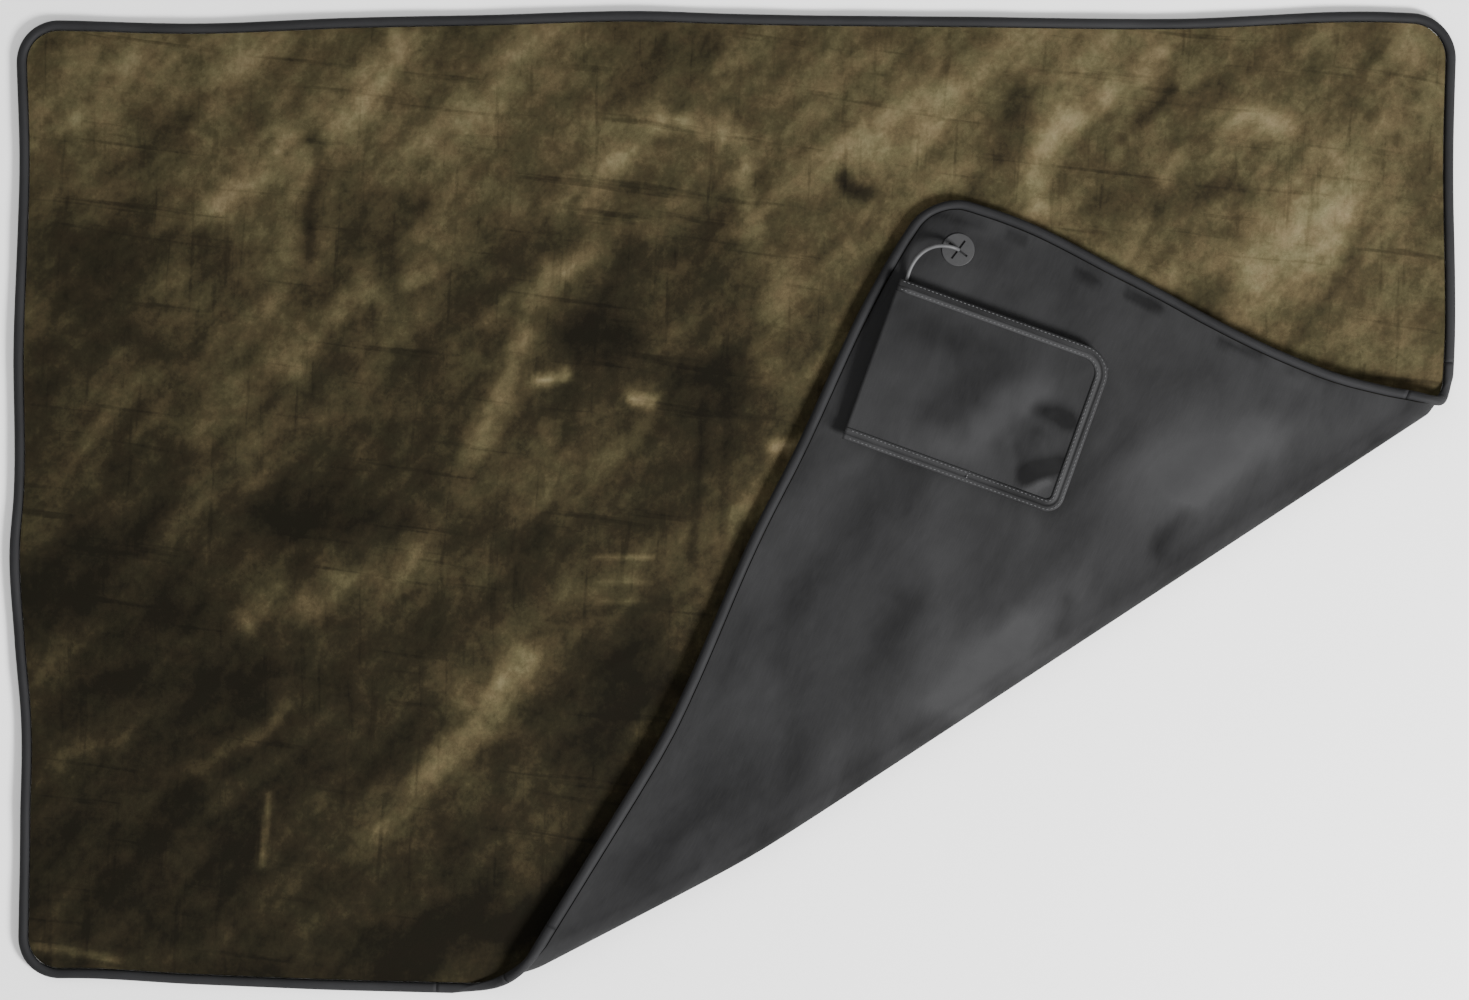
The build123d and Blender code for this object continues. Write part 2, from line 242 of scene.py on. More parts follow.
def plush_material():
    """Short brushed pile, with the nap's sheen painted into its colour as light and dark patches."""
    make = Shader("plush_velvet", Sheen_Weight=0.12, Sheen_Roughness=0.5, Specular_IOR_Level=0.08)
    make.surface.inputs["Sheen Tint"].default_value = (0.62, 0.54, 0.36, 1.0)
    bands = make.noise(make.coordinates(turn=44, scale=(6.0, 17.0, 1)), 1.0, 3.0, 0.55, 0.4)
    brush = make.noise(make.coordinates(turn=52, scale=(26.0, 40.0, 1)), 1.0, 3.0, 0.58, 0.2)
    mottle = make.noise(make.coordinates(scale=(84, 74, 1)), 1.0, 3.0, 0.65, 0.2)
    tufts = make.noise(make.coordinates(scale=(260, 260, 1)), 1.0, 3.0, 0.7, 0.5)
    pile = make.noise(make.coordinates(scale=(1500, 950, 1)), 1.0, 2.0, 0.6)
    across = make.noise(make.coordinates(turn=-7, scale=(4.0, 64.0, 1)), 1.0, 3.0, 0.6, 0.2)
    down = make.noise(make.coordinates(turn=87, scale=(7.0, 80.0, 1)), 1.0, 3.0, 0.6, 0.2)
    tint = make.noise(make.coordinates(scale=(24, 30, 1)), 1.0, 3.0, 0.6)
    # The nap's painted sheen: lighter and darker patches stored on the mesh.
    level = make.attribute("nap_painted_sheen")
    for layer, weight in ((bands, 0.66), (brush, 0.48), (mottle, 0.32), (tufts, 0.22), (pile, 0.12)):
        level = make.math("MULTIPLY_ADD", make.math("SUBTRACT", layer, 0.5), weight, level)
    for layer, depth in ((across, -0.13), (down, -0.09)):
        level = make.math("ADD", level, make.spread(layer, 0.30, 0.40, depth, 0.0))
    colour = make.ramp(level, [
        (0.05, (0.0042, 0.0036, 0.0020)),
        (0.30, (0.0125, 0.0104, 0.0054)),
        (0.50, (0.0310, 0.0258, 0.0130)),
        (0.70, (0.0640, 0.0535, 0.0280)),
        (0.98, (0.1350, 0.1160, 0.0680)),
    ])
    hue = make.ramp(tint, [(0.38, (1.05, 0.965, 0.91)), (0.62, (0.96, 0.985, 0.90))])
    colour = make.node("MixRGB", 1.0, colour, hue, blend_type="MULTIPLY")
    height = make.math("MULTIPLY_ADD", brush, 0.5, make.math("MULTIPLY", tufts, 0.5))
    normal = make.bump(height, 0.5, 0.0016)
    roughness = make.spread(level, 0.0, 1.0, 0.97, 0.85)
    return make.finish(colour, roughness, make.bump(pile, 0.5, 0.0008, normal))


def woven_material(name, dark, light, painted_light_attribute=None, rough=0.55):
    """Plain-woven coated polyester, with a soft uneven sheen; an attribute, if given, adds painted
    highlights and painted shade to the colour.
    """
    make = Shader(name, Specular_IOR_Level=0.14)
    place = make.coordinates()
    warp = make.waves(place, 260.0, "X", 0.6)
    weft = make.waves(place, 300.0, "Y", 0.6)
    threads = make.math("MAXIMUM", warp, weft)
    blotch = make.noise(make.coordinates(turn=6, scale=(7.0, 17.0, 7.0)), 1.0, 4.0, 0.55, 0.4)
    cloud = make.noise(place, 34.0, 4.0, 0.6, 0.3)
    slub = make.noise(make.coordinates(scale=(60, 900, 60)), 1.0, 2.0, 0.5)
    level = make.math("MULTIPLY_ADD", cloud, 0.22, make.math("MULTIPLY", blotch, 0.50))
    level = make.math("MULTIPLY_ADD", make.math("SUBTRACT", slub, 0.5), 0.14, level)
    # The attribute's painted highlights and painted shade lighten and darken the colour.
    if painted_light_attribute:
        level = make.math("ADD", make.attribute(painted_light_attribute), level)
    base = make.ramp(level, [(0.14, dark), (0.62, light)])
    grain = make.ramp(threads, [(0.1, (0.72, 0.72, 0.72)), (0.9, (1.08, 1.08, 1.08))])
    mixed = make.node("MixRGB", 0.8, base, grain, blend_type="MULTIPLY")
    roughness = make.spread(cloud, 0.25, 0.75, rough - 0.10, rough + 0.12)
    normal = make.bump(cloud, 0.25, 0.0012)
    return make.finish(mixed, roughness, make.bump(threads, 0.35, 0.00025, normal))


def plain_fabric(name, colour, scale=700.0, attribute=None, rough=0.85):
    """A small-scale fibrous fabric for fillings, tapes and thread."""
    make = Shader(name, Specular_IOR_Level=0.25)
    place = make.coordinates(attribute)
    fibre = make.noise(place, scale, 4.0, 0.65, 0.8)
    cloud = make.noise(place, scale / 14, 3.0, 0.55)
    tint = make.ramp(cloud, [(0.3, shade(colour, 0.78)), (0.7, shade(colour, 1.12))])
    grain = make.ramp(fibre, [(0.25, (0.7, 0.7, 0.7)), (0.75, (1.1, 1.1, 1.1))])
    mixed = make.node("MixRGB", 0.7, tint, grain, blend_type="MULTIPLY")
    return make.finish(mixed, make.spread(fibre, 0.2, 0.8, rough - 0.1, rough + 0.1),
                       make.bump(fibre, 0.5, 0.0004))


def steel_material():
    make = Shader("plug_steel", Metallic=1.0)
    brushed = make.noise(make.coordinates(None, scale=(900, 900, 4000)), 1.0, 3.0, 0.6)
    tint = make.ramp(brushed, [(0.3, (0.42, 0.42, 0.43)), (0.7, (0.6, 0.6, 0.61))])
    return make.finish(tint, make.spread(brushed, 0.2, 0.8, 0.22, 0.42), make.bump(brushed, 0.1, 0.0001))


# ---- Smooth profiles and noise ----
def smooth(value, low=0.0, high=1.0):
    share = np.clip((value - low) / (high - low), 0, 1)
    return share * share * (3 - 2 * share)


def profile(points, at):
    """A smooth curve through a few (place, value) points, in millimetres, given back in metres."""
    x, v = (np.array(column, float) / 1000 for column in zip(*points))
    slope = np.gradient(v, x)
    at = np.clip(at, x[0], x[-1])
    i = np.clip(np.searchsorted(x, at) - 1, 0, len(x) - 2)
    gap = x[i + 1] - x[i]
    f = (at - x[i]) / gap
    return ((1 + 2 * f) * (1 - f) ** 2 * v[i] + f * (1 - f) ** 2 * gap * slope[i]
            + f * f * (3 - 2 * f) * v[i + 1] + f * f * (f - 1) * gap * slope[i + 1])


def lattice(i, j, seed):
    return np.modf(np.abs(np.sin(i * 127.1 + j * 311.7 + seed * 74.7) * 43758.5453))[0]


def noise(x, y, seed, octaves=3):
    """Smooth noise around 0.5, the same on each run."""
    total, weight, size = 0.0, 0.0, 1.0
    for _ in range(octaves):
        i, j = np.floor(x), np.floor(y)
        u, v = smooth(x - i), smooth(y - j)
        rows = [lattice(i, j + k, seed) * (1 - u) + lattice(i + 1, j + k, seed) * u for k in (0, 1)]
        total = total + size * (rows[0] * (1 - v) + rows[1] * v)
        weight += size
        x, y, seed, size = 2.03 * x + 5.1, 2.03 * y + 1.7, seed + 3, size * 0.5
    return total / weight


def turned(x, y, degrees):
    c, s = math.cos(math.radians(degrees)), math.sin(math.radians(degrees))
    return x * c + y * s, y * c - x * s


def strokes(x, y, marks):
    """Adds up soft oblong marks: centre, length and width in millimetres, angle, strength."""
    total = np.zeros_like(x)
    for cx, cy, long, wide, angle, strength in marks:
        a, b = turned(x - cx / 1000, y - cy / 1000, angle)
        over = np.maximum(np.abs(a) - (long - wide) / 2000, 0)
        total += strength * np.exp(-6.0 * (over**2 + b**2) / (wide / 1000) ** 2)
    return total


# ---- The outline and the fold ----
# Each side's waviness: place along the side and push along the world axis, in millimetres.
TOP_SIDE = [(-750, 0), (-691, -1), (-569, -4), (-400, 2), (-257, 5), (-97, 9), (0, 6), (242, 3),
            (460, 1), (679, 8), (750, 4)]
LEFT_SIDE = [(-500, 4), (-461, 5), (-339, 7), (-232, 8), (-145, 1), (-48, -4), (4, 0), (155, 0),
             (374, 6), (462, 3), (500, 2)]
BOTTOM_SIDE = [(-750, 2), (-705, 4), (-568, -2), (-423, -8), (-272, -12), (-168, -16), (-100, -17),
               (179, -19), (350, -19), (429, -14), (603, -9), (672, -3), (710, 0), (750, 2)]
RIGHT_SIDE = [(-500, -6), (-444, -5), (-374, -4), (-287, -10), (-230, -14), (-177, -19), (-132, -22),
              (-87, -23), (-31, -21), (20, -13), (65, -4), (102, -6), (131, -4), (375, -4), (500, 0)]


CORNER_TUCK, TUCK_REACH = 0.006, 0.06   # how far the folded corner draws in, and from where


def shaped(x, y):
    """The flat blanket's points, moved so that its sides are as wavy as a used blanket's."""
    u, v = x / LENGTH + 0.5, y / WIDTH + 0.5
    dx = profile(LEFT_SIDE, y) * (1 - u) ** 2 + profile(RIGHT_SIDE, y) * u**2
    dy = profile(BOTTOM_SIDE, x) * (1 - v) ** 2 + profile(TOP_SIDE, x) * v**2
    p, q = LENGTH / 2 - x, WIDTH / 2 + y
    tuck = CORNER_TUCK * np.exp(-(p**2 + q**2) / TUCK_REACH**2)
    return x + dx - tuck, y + dy + tuck


def fold_coordinates(x, y):
    x, y = x - CREASE_POINT[0], y - CREASE_POINT[1]
    return (x * CREASE_OUT[0] + y * CREASE_OUT[1], x * CREASE_DIR[0] + y * CREASE_DIR[1])


BOW_START, BOW_SLOPE, BOW_SOFTNESS = 0.25, 0.105, 0.04


def crease_bow(t):
    """How far the fold bows in from the straight crease towards its left end."""
    run = BOW_START - t
    return -BOW_SLOPE * 0.5 * (run + np.sqrt(run * run + BOW_SOFTNESS**2))


def folded(x, y, w):
    """Lays a flat point at height w over the roll: sheet, half circle, flap."""
    s, t = fold_coordinates(x, y)
    bow = crease_bow(t)
    run = s - bow - ROLL_START
    angle = np.clip(run / ROLL_R, 0, np.pi)
    past = np.maximum(run - ROLL_ARC, 0)
    r = ROLL_R - w
    out = ROLL_START + bow + np.minimum(run, 0) + r * np.sin(angle) - past
    z = ROLL_R - r * np.cos(angle) - past * math.tan(FLAP_TURN)
    return np.stack([CREASE_POINT[0] + CREASE_OUT[0] * out + CREASE_DIR[0] * t,
                     CREASE_POINT[1] + CREASE_OUT[1] * out + CREASE_DIR[1] * t, z], axis=-1)


def roll_run(x, y):
    s, t = fold_coordinates(x, y)
    return s - crease_bow(t) - ROLL_START, t


# ---- Rumples ----
TIP = corner_point(0.0, 0.0, 0.0)
P_DIR = (corner_point(0.1, 0.0, 0.0) - TIP).normalized()
Q_DIR = (corner_point(0.0, 0.1, 0.0) - TIP).normalized()

# Folds in the flap's shell, in world millimetres: centre, length, width, angle, height.
FLAP_RIDGES = [
    (505, 40, 190, 60, 38, 3.2), (250, -165, 190, 70, 48, 2.6), (330, -75, 120, 60, 60, 2.0),
    (560, 95, 150, 50, 20, 2.2), (60, -210, 200, 60, 55, 2.2), (10, -170, 90, 26, -50, 1.8),
    (-40, -330, 200, 50, 62, 1.8), (420, 90, 120, 45, 75, 1.6), (640, 65, 140, 34, -24, 2.2),
    (150, -20, 160, 45, 68, 1.2),
]


def under_flap(x, y):
    """1 below the folded corner, 0 from a hand's width outside of it."""
    x, y = x - TIP.x, y - TIP.y
    inside = np.minimum(x * P_DIR.x + y * P_DIR.y, x * Q_DIR.x + y * Q_DIR.y)
    return smooth(inside, -0.07, -0.005)


def sheet_waves(x, y):
    a, b = turned(x, y, 46)
    broad = noise(a / 0.30, b / 0.085, 11, 3)
    ridge = 1 - np.abs(2 * noise(a / 0.22 + 3.0, b / 0.12, 29, 2) - 1)
    small = noise(x / 0.05, y / 0.035, 5, 3)
    height = 0.0052 * smooth(broad, 0.25, 0.8) + 0.0022 * ridge**4 + 0.0010 * small
    inset = np.minimum(LENGTH / 2 - np.abs(x), WIDTH / 2 - np.abs(y))
    return height * (1 - 0.97 * under_flap(x, y)) * smooth(inset, -0.01, 0.07)


def flap_waves(x, y):
    a, b = turned(x, y, 52)
    broad = noise(a / 0.24, b / 0.10, 41, 3)
    return 0.0016 * smooth(broad, 0.3, 0.75) + strokes(x, y, FLAP_RIDGES) / 1000


CLEAR_P, CLEAR_Q = (0.165, 0.135), (0.135, 0.125)   # the clear area's middle and half width
PINCH = 0.92                            # how far the layers are drawn down at the piping


def keep_clear(x, y):
    """0 round the port and the pocket, where the shell lies as CAD has it, 1 elsewhere."""
    x, y = x - TIP.x, y - TIP.y
    p, q = x * P_DIR.x + y * P_DIR.y, x * Q_DIR.x + y * Q_DIR.y
    over = [np.maximum(np.abs(place - middle) - half, 0)
            for place, (middle, half) in ((p, CLEAR_P), (q, CLEAR_Q))]
    return smooth(np.hypot(*over), 0.0, 0.05)


def lifted(x, y, w, inset):
    """The height of a layer's point, with the rumples and the pinch along the piping."""
    run, _ = roll_run(x, y)
    plan = folded(x, y, 0.0 * x)
    on_sheet = 1 - smooth(run, -0.08, -0.01)
    on_flap = smooth(run, ROLL_ARC, ROLL_ARC + 0.06)
    flap = flap_waves(plan[..., 0], plan[..., 1]) * keep_clear(plan[..., 0], plan[..., 1])
    edge = smooth(inset, 0.0, 0.05)
    pinch = PINCH * (1 - smooth(inset, EDGE - 0.002, EDGE + 0.014))
    w = w + pinch * (BEAD_R - w)
    return w + on_sheet * sheet_waves(x, y) - on_flap * flap * edge


def laid(x, y, w, inset):
    """The rest place of a point of the flat, unshaped blanket."""
    sx, sy = shaped(x, y)
    return folded(sx, sy, lifted(sx, sy, w, inset))


# ---- Meshes ----
def add_mesh(name, points, faces, material, smooth_faces=True):
    mesh = bpy.data.meshes.new(name)
    mesh.from_pydata([tuple(p) for p in points], [], faces)
    mesh.validate()
    mesh.polygons.foreach_set("use_smooth", [smooth_faces] * len(mesh.polygons))
    mesh.materials.append(material)
    made = bpy.data.objects.new(name, mesh)
    bpy.context.scene.collection.objects.link(made)
    return made


def store(made, name, values):
    values = np.asarray(values, np.float32)
    kind = "FLOAT_VECTOR" if values.ndim == 2 else "FLOAT"
    field = "vector" if values.ndim == 2 else "value"
    made.data.attributes.new(name, kind, "POINT").data.foreach_set(field, values.ravel())


def grid_faces(rows, columns):
    first = (np.arange(rows)[:, None] * (columns + 1) + np.arange(columns)).ravel()
    return np.stack([first, first + 1, first + columns + 2, first + columns + 1], axis=1)


def tube_faces(count, size, base=0):
    """The sides and both ends of a tube through count rings of size points."""
    faces = []
    for i in range(base, base + (count - 1) * size, size):
        for j in range(size):
            k = (j + 1) % size
            faces.append([i + j, i + size + j, i + size + k, i + k])
    last = base + (count - 1) * size
    return faces + [list(range(base, base + size)), list(range(last, last + size))[::-1]]


def closed_sheet(name, top, under, faces, material):
    """A closed mesh from a top, the same points underneath, and walls round them."""
    count = len(top)
    sides = {side: True for face in faces for side in zip(face, face[1:] + face[:1])}
    walls = [[a, a + count, b + count, b] for a, b in sides if (b, a) not in sides]
    below = [[i + count for i in reversed(face)] for face in faces]
    return add_mesh(name, np.concatenate([top, under]), faces + below + walls, material)


def corner_pull(dx, dy):
    """Where points lie beyond a round corner's centre, and how much nearer to it they belong."""
    corner = (dx > 0) & (dy > 0)
    return corner, np.maximum(dx, dy) / np.maximum(np.hypot(dx, dy), 1e-9)


def run_along(places):
    """How far along a row of points each one is."""
    return np.concatenate([[0], np.cumsum(np.hypot(*np.diff(places, axis=0).T))])


def rounded_grid(inset, step):
    """A grid over the blanket's rounded outline, as x, y and the faces."""
    half_x, half_y, radius = LENGTH / 2 - inset, WIDTH / 2 - inset, CORNER_R - inset
    nx, ny = round(2 * half_x / step), round(2 * half_y / step)
    x, y = np.meshgrid(np.linspace(-half_x, half_x, nx + 1), np.linspace(-half_y, half_y, ny + 1))
    x, y = x.ravel(), y.ravel()
    dx, dy = np.abs(x) - (half_x - radius), np.abs(y) - (half_y - radius)
    corner, pull = corner_pull(dx, dy)
    x = np.where(corner, np.sign(x) * (half_x - radius + dx * pull), x)
    y = np.where(corner, np.sign(y) * (half_y - radius + dy * pull), y)
    return x, y, grid_faces(ny, nx)


def inset_of(x, y):
    """Distance in from the blanket's rounded outline."""
    dx, dy = np.abs(x) - (LENGTH / 2 - CORNER_R), np.abs(y) - (WIDTH / 2 - CORNER_R)
    round_part = np.hypot(np.maximum(dx, 0), np.maximum(dy, 0))
    return CORNER_R - np.where(round_part > 0, round_part, np.maximum(dx, dy))


ROLL_CUTS = 18
SEAM_LAP = 0.014                        # the roll's pieces begin a little outside of its arc
SEAM_BEFORE, SEAM_MIDDLE, SEAM_AFTER = -SEAM_LAP, ROLL_ARC / 2, ROLL_ARC + SEAM_LAP
REGIONS = ("sheet", "roll_low_right", "roll_low_left", "roll_top_right", "roll_top_left", "flap")


def region_of(run, t):
    """Each place's number in REGIONS."""
    strip = 1 + 2 * (run >= SEAM_MIDDLE) + (t < BOW_START)
    return np.where(run < SEAM_BEFORE, 0, np.where(run > SEAM_AFTER, 5, strip))


def cut_plan(inset, step):
    """The flat grid, cut along the roll so that no face spans two regions."""
    x, y, faces = rounded_grid(inset, step)
    sx, sy = shaped(x, y)
    run, t = roll_run(sx, sy)
    plan = bmesh.new()
    keep_x, keep_y = plan.verts.layers.float.new("x"), plan.verts.layers.float.new("y")
    made = []
    for i in range(len(x)):
        vert = plan.verts.new((run[i], t[i], 0.0))
        vert[keep_x], vert[keep_y] = x[i], y[i]
        made.append(vert)
    for face in faces:
        plan.faces.new([made[i] for i in face])
    cuts = [SEAM_BEFORE, SEAM_AFTER, *(ROLL_ARC * k / ROLL_CUTS for k in range(ROLL_CUTS + 1))]
    for cut in cuts:
        cut_through(plan, plan.faces, 0, cut)
    band = [f for f in plan.faces if SEAM_BEFORE < f.calc_center_median().x < SEAM_AFTER]
    cut_through(plan, band, 1, BOW_START)
    plan.verts.index_update()
    x = np.array([v[keep_x] for v in plan.verts])
    y = np.array([v[keep_y] for v in plan.verts])
    faces = [[v.index for v in f.verts] for f in plan.faces]
    middles = np.array([f.calc_center_median()[:2] for f in plan.faces])
    plan.free()
    return x, y, faces, region_of(middles[:, 0], middles[:, 1])


def cut_through(plan, faces, axis, at):
    """Cuts the faces that cross a line, which runs over one axis at one place."""
    near = [f for f in faces if min(v.co[axis] for v in f.verts) < at < max(v.co[axis] for v in f.verts)]
    normal = Vector((axis == 0, axis == 1, 0))
    geometry = list({v for f in near for v in f.verts}) + list({e for f in near for e in f.edges}) + near
    bmesh.ops.bisect_plane(plan, geom=geometry, dist=1e-6, plane_co=normal * at, plane_no=normal)


def surface_normals(x, y, w, inset):
    step = 0.0008
    east = laid(x + step, y, w, inset) - laid(x - step, y, w, inset)
    north = laid(x, y + step, w, inset) - laid(x, y - step, w, inset)
    normal = np.cross(east, north)
    return normal / np.linalg.norm(normal, axis=1)[:, None]


def layer_piece(name, plan, region, low, high, material):
    """One closed piece of a layer: its top, its underside and the walls round them."""
    x, y, faces, regions = plan
    chosen = [faces[i] for i in np.flatnonzero(regions == region)]
    used = sorted({i for face in chosen for i in face})
    index = {old: new for new, old in enumerate(used)}
    chosen = [[index[i] for i in face] for face in chosen]
    x, y = x[used], y[used]
    inset = inset_of(x, y)
    top, under = laid(x, y, high + 0 * x, inset), laid(x, y, low + 0 * x, inset)
    made = closed_sheet(name, top, under, chosen, material)
    normals = np.concatenate([surface_normals(x, y, high + 0 * x, inset),
                              -surface_normals(x, y, low + 0 * x, inset)])
    own = []
    for polygon in made.data.polygons:
        wall = polygon.index >= 2 * len(chosen)
        flat = tuple(polygon.normal)
        own.extend(flat if wall else tuple(normals[i]) for i in polygon.vertices)
    made.data.normals_split_custom_set(own)
    cloth = np.stack([x, y, 0 * x], axis=1)
    store(made, "cloth", np.concatenate([cloth, cloth + (0, 0, low - high)]))
    area = sum(polygon_area([(x[i], y[i]) for i in face]) for face in chosen)
    return made, (x, y), area


def polygon_area(corners):
    return 0.5 * sum(x0 * y1 - x1 * y0 for (x0, y0), (x1, y1) in zip(corners, corners[1:] + corners[:1]))


def bend_at_roll(made, upper):
    """Bakes a roll piece's placement into its mesh."""
    base = Vector(CREASE_POINT) + Vector(CREASE_DIR) * BOW_START
    if upper:
        base += Vector((0, 0, FOLD_HEIGHT))
    if upper:
        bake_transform(made)
    else:
        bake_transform(made)


def move_with(made, region):
    name = REGIONS[region]
    if name == "sheet":
        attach(made, "sheet")
    elif name == "flap":
        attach(made, "corner")
    else:
        bend_at_roll(made, "top" in name)


# ---- Plush, padding and shell ----
NARROW_MARK = 16                        # marks narrower than this keep their drawn shape
# The nap's painted sheen, lighter and darker patches, in millimetres: centre, length, width, angle, lighter
# or darker.
NAP_PAINTED_SHEEN_MARKS = [
    (-47, 386, 100, 40, -18, 0.30), (8, 323, 120, 34, -74, 0.26), (-140, 323, 130, 70, 60, 0.16),
    (-229, 147, 230, 34, 66, 0.27), (-208, 219, 150, 36, 36, 0.26), (-192, 128, 48, 20, 12, 0.55),
    (-99, 107, 54, 19, -15, 0.55), (322, 344, 170, 52, 72, 0.30), (420, 440, 110, 34, 32, 0.22),
    (484, 365, 110, 38, 40, 0.26), (551, 386, 80, 34, -15, 0.26), (610, 260, 220, 100, 30, 0.16),
    (47, 178, 140, 56, 75, 0.24), (140, 375, 220, 90, 20, 0.14), (-640, 438, 170, 44, 40, 0.20),
    (-520, 443, 150, 44, 45, 0.20), (-390, 430, 170, 44, 50, 0.24), (-504, 344, 150, 54, 35, 0.26),
    (-317, 365, 160, 54, 40, 0.20), (-515, 105, 170, 44, 42, 0.26), (-420, 178, 150, 44, 42, 0.22),
    (-484, -103, 90, 36, 40, 0.24), (-420, -93, 90, 34, 42, 0.26), (-330, -60, 130, 44, 40, 0.14),
    (-306, -260, 300, 50, 46, 0.20), (-245, -186, 150, 66, 45, 0.16), (-492, -337, 84, 11, 84, 0.55),
    (-520, -249, 130, 26, 35, 0.22), (-660, -249, 130, 24, 30, 0.18), (-690, -472, 100, 14, -10, 0.40),
    (52, 63, 46, 24, 5, 0.42), (-109, -56, 66, 6, 0, 0.40), (-109, -78, 66, 6, 0, 0.32),
    (-112, -98, 60, 6, 0, 0.36), (-560, -330, 120, 26, 50, 0.18), (-640, 60, 120, 30, 40, 0.14),
    (250, 300, 120, 60, 55, 0.14), (690, 420, 110, 40, 75, 0.18), (-180, -420, 160, 30, 40, 0.12),
    (-78, 130, 260, 140, -10, -0.26), (-130, 209, 150, 54, 60, -0.20), (125, 318, 56, 28, -40, -0.40),
    (-440, 313, 140, 22, 88, -0.26), (-348, 261, 130, 34, 70, -0.18), (-630, 250, 260, 110, 0, -0.18),
    (-650, -103, 260, 150, 10, -0.20), (-360, -20, 370, 56, -5, -0.22), (-556, -186, 210, 66, 10, -0.16),
    (-265, -436, 320, 100, 15, -0.26), (-109, -207, 160, 76, 60, -0.24), (-610, -394, 220, 110, 10, -0.16),
    (-36, 22, 170, 13, 88, -0.24), (-8, 40, 150, 10, 90, -0.20), (270, 370, 150, 34, 75, -0.20),
    (430, 400, 100, 26, 50, -0.26), (484, 313, 110, 34, 20, -0.18), (670, 334, 210, 34, 70, -0.16),
    (380, 320, 110, 44, 60, -0.16), (-180, 250, 160, 30, 66, -0.16), (-560, 160, 200, 40, -12, -0.14),
]


def nap_painted_sheen(x, y):
    """Painted sheen of the pile: 0 where it is painted as lying away from the light, 1 where it is painted
    shining.
    """
    warp_x = x + 0.030 * (noise(x / 0.05, y / 0.05, 71) - 0.5)
    warp_y = y + 0.030 * (noise(x / 0.05, y / 0.05, 83) - 0.5)
    a, b = turned(warp_x, warp_y, 47)
    bands = noise(a / 0.20, b / 0.066, 19, 3) - 0.5
    ragged = 0.60 + 0.90 * noise(x / 0.030, y / 0.022, 57, 3)
    broad = strokes(warp_x, warp_y, [mark for mark in NAP_PAINTED_SHEEN_MARKS if mark[3] >= NARROW_MARK])
    narrow = strokes(x, y, [mark for mark in NAP_PAINTED_SHEEN_MARKS if mark[3] < NARROW_MARK])
    across_sheet = 0.32 * y / WIDTH + 0.16 * x / LENGTH
    return 0.395 + across_sheet + 0.40 * bands + 0.9 * ragged * broad + 0.7 * narrow


# Painted highlights and painted shade on the shell: lighter sheen patches and darker patches, among them the
# shade of puckers along the piping's seam and a dark strip along the fold's edge, in world millimetres.
SHELL_PAINTED_LIGHT_MARKS = [
    (266, -217, 1120, 62, 33.3, -0.24), (-20, -330, 260, 90, 40, -0.10), (240, 270, 180, 60, -24, -0.10),
    (423, 205, 40, 12, -22, -0.30), (362, 233, 34, 13, -30, -0.20), (288, 275, 28, 11, -25, -0.20),
    (230, 292, 60, 12, -10, -0.12), (520, 160, 60, 12, -20, -0.20), (600, 128, 60, 12, -12, -0.14),
    (500, 40, 150, 60, 35, 0.32), (253, -170, 160, 60, 45, 0.30), (480, 60, 260, 130, 38, 0.12),
    (275, -150, 260, 110, 30, 0.10), (449, -28, 80, 32, 66, -0.26), (174, -138, 100, 50, 62, -0.12),
    (338, -117, 50, 20, 70, -0.16), (60, -120, 150, 60, 70, -0.08), (640, 70, 120, 50, 30, 0.06),
]


# Painted highlights and painted shade of the pocket panel's wrinkles, in world millimetres: centre, length,
# width, angle, lighter or darker.
PANEL_PAINTED_LIGHT_MARKS = [
    (331, 88, 46, 24, -20, -0.34), (316, 31, 60, 26, 30, -0.42), (311, 10, 40, 12, 28, 0.34),
    (264, 81, 170, 54, 30, 0.26), (150, 107, 130, 90, 60, 0.10), (242, 116, 120, 54, 40, -0.09),
    (213, 170, 80, 40, -20, -0.14), (190, 60, 60, 40, 40, 0.06),
]


# Painted light and shade: lighter and darker marks for a colour, slightly warped, at the given points.
def painted_light(plan, marks):
    x, y = plan[..., 0], plan[..., 1]
    warp = 0.02 * (noise(x / 0.05, y / 0.05, 7) - 0.5)
    return strokes(x + warp, y - warp, marks)


# Each layer's name, underside, top and mesh step. The padding is a hair smaller than its place.
SQUEEZE, PADDING_INSET = 0.00005, 0.0004
LAYERS = [
    ("plush", PLUSH_W, BLANKET_T, 0.005),
    ("padding", PADDING_W, PLUSH_W, 0.0125),
    ("shell", 0.0, SHELL_T, 0.00625),
]


def add_layers(materials):
    cad = {"sheet": ["{}_sheet"], "roll_low_right": ["{}_fold"], "flap": ["{}_corner"]}
    for name, low, high, step in LAYERS:
        padding = name == "padding"
        squeeze = SQUEEZE if padding else 0.0
        plan = cut_plan(EDGE + PADDING_INSET * padding, step)
        for region, where in enumerate(REGIONS):
            made, corners, area = layer_piece(name + "_" + where + "_cloth", plan, region,
                                              low + squeeze, high - squeeze, materials[name])
            if name == "plush":
                # The plush's painted sheen, on both its sides.
                values = nap_painted_sheen(*corners)
                store(made, "nap_painted_sheen", np.concatenate([values, values]))
            if name == "shell":
                # The shell's painted highlights and painted shade, on both its sides.
                values = painted_light(folded(*shaped(*corners), 0 * corners[0]), SHELL_PAINTED_LIGHT_MARKS)
                store(made, "painted_light", np.concatenate([values, values]))
            move_with(made, region)
            for node in cad.get(where, []):
                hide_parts(node.format(name))


